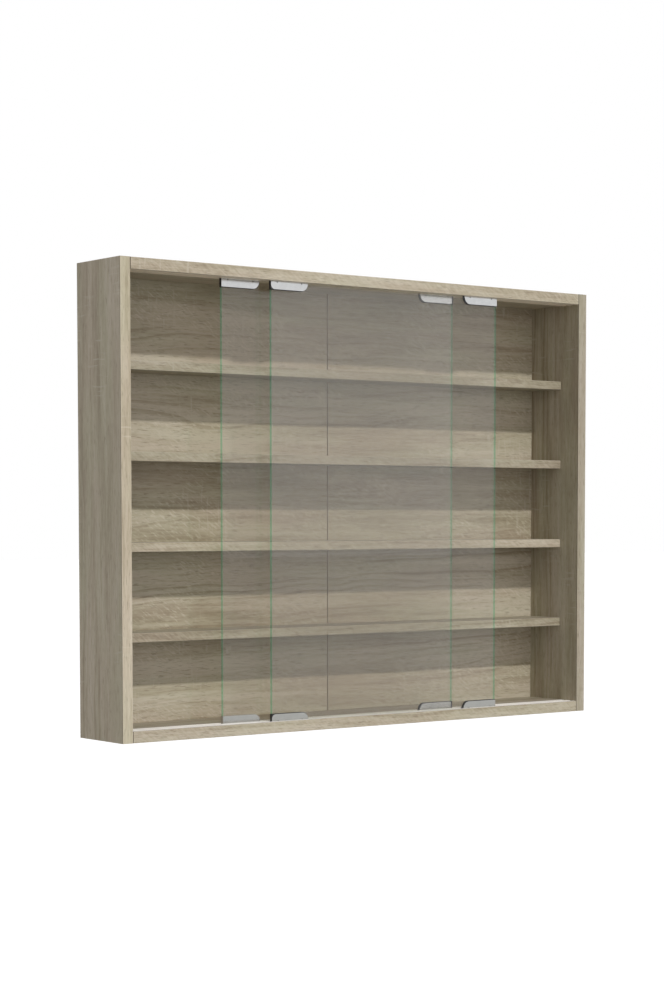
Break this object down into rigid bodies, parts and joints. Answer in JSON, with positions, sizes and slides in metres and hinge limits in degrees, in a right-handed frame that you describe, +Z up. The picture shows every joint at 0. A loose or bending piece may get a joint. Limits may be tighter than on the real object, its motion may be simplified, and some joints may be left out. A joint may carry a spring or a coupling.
{
  "type": "wall display cabinet",
  "caption": "Shallow wall display cabinet in oak-look board, with fixed shelves behind frameless glass panes that slide past each other in double tracks.",
  "frame": {"origin": "On the wall plane, halfway between the entry holes of the two keyhole hanger plates.", "axes": "+X to the right as seen from the room, +Y into the wall, +Z up."},
  "size_m": [0.8, 0.105, 0.612],
  "materials": {
    "oak_board": "oak-look melamine, satin",
    "oak_band": "oak-look edge band, satin",
    "oak_back": "oak-look fibreboard, satin",
    "seam_tape": "paper-backed tape",
    "beech_dowel": "raw beech, fluted",
    "cam_zinc": "die-cast zinc",
    "zinc_steel": "zinc-plated steel",
    "track_plastic": "cream plastic",
    "pane_glass": "clear float glass, ground edges",
    "shoe_metal": "bright plated sheet",
    "liner_plastic": "black plastic"
  },
  "bodies": {
    "case": {"back_nails": "zinc_steel", "back_panel_left": "oak_back", "back_panel_right": "oak_back", "back_seam_tape": "seam_tape", "bottom_board": "oak_board", "bottom_board_band": "oak_band", "bottom_track": "track_plastic", "cam_bolts": "zinc_steel", "cam_locks": "cam_zinc", "case_dowels": "beech_dowel", "hanger_plate_left": "zinc_steel", "hanger_plate_right": "zinc_steel", "hanger_screws": "zinc_steel", "left_side": "oak_board", "left_side_band": "oak_band", "right_side": "oak_board", "right_side_band": "oak_band", "shelf_1": "oak_board", "shelf_1_band": "oak_band", "shelf_2": "oak_board", "shelf_2_band": "oak_band", "shelf_3": "oak_board", "shelf_3_band": "oak_band", "shelf_4": "oak_board", "shelf_4_band": "oak_band", "shelf_dowels": "beech_dowel", "top_board": "oak_board", "top_board_band": "oak_band", "top_track": "track_plastic"},
    "front_pane": {"front_liner_bottom_left": "liner_plastic", "front_liner_bottom_right": "liner_plastic", "front_liner_top_left": "liner_plastic", "front_liner_top_right": "liner_plastic", "front_pane_glass": "pane_glass", "front_shoe_bottom_left": "shoe_metal", "front_shoe_bottom_right": "shoe_metal", "front_shoe_top_left": "shoe_metal", "front_shoe_top_right": "shoe_metal"},
    "rear_pane": {"rear_liner_bottom_left": "liner_plastic", "rear_liner_bottom_right": "liner_plastic", "rear_liner_top_left": "liner_plastic", "rear_liner_top_right": "liner_plastic", "rear_pane_glass": "pane_glass", "rear_shoe_bottom_left": "shoe_metal", "rear_shoe_bottom_right": "shoe_metal", "rear_shoe_top_left": "shoe_metal", "rear_shoe_top_right": "shoe_metal"}
  },
  "joints": [
    {"name": "front_pane_slide", "type": "slide", "parent": "case", "child": "front_pane", "axis": [1, 0, 0], "range_m": [-0.2214, 0.1525]},
    {"name": "rear_pane_slide", "type": "slide", "parent": "case", "child": "rear_pane", "axis": [1, 0, 0], "range_m": [-0.1521, 0.2218]}
  ]
}
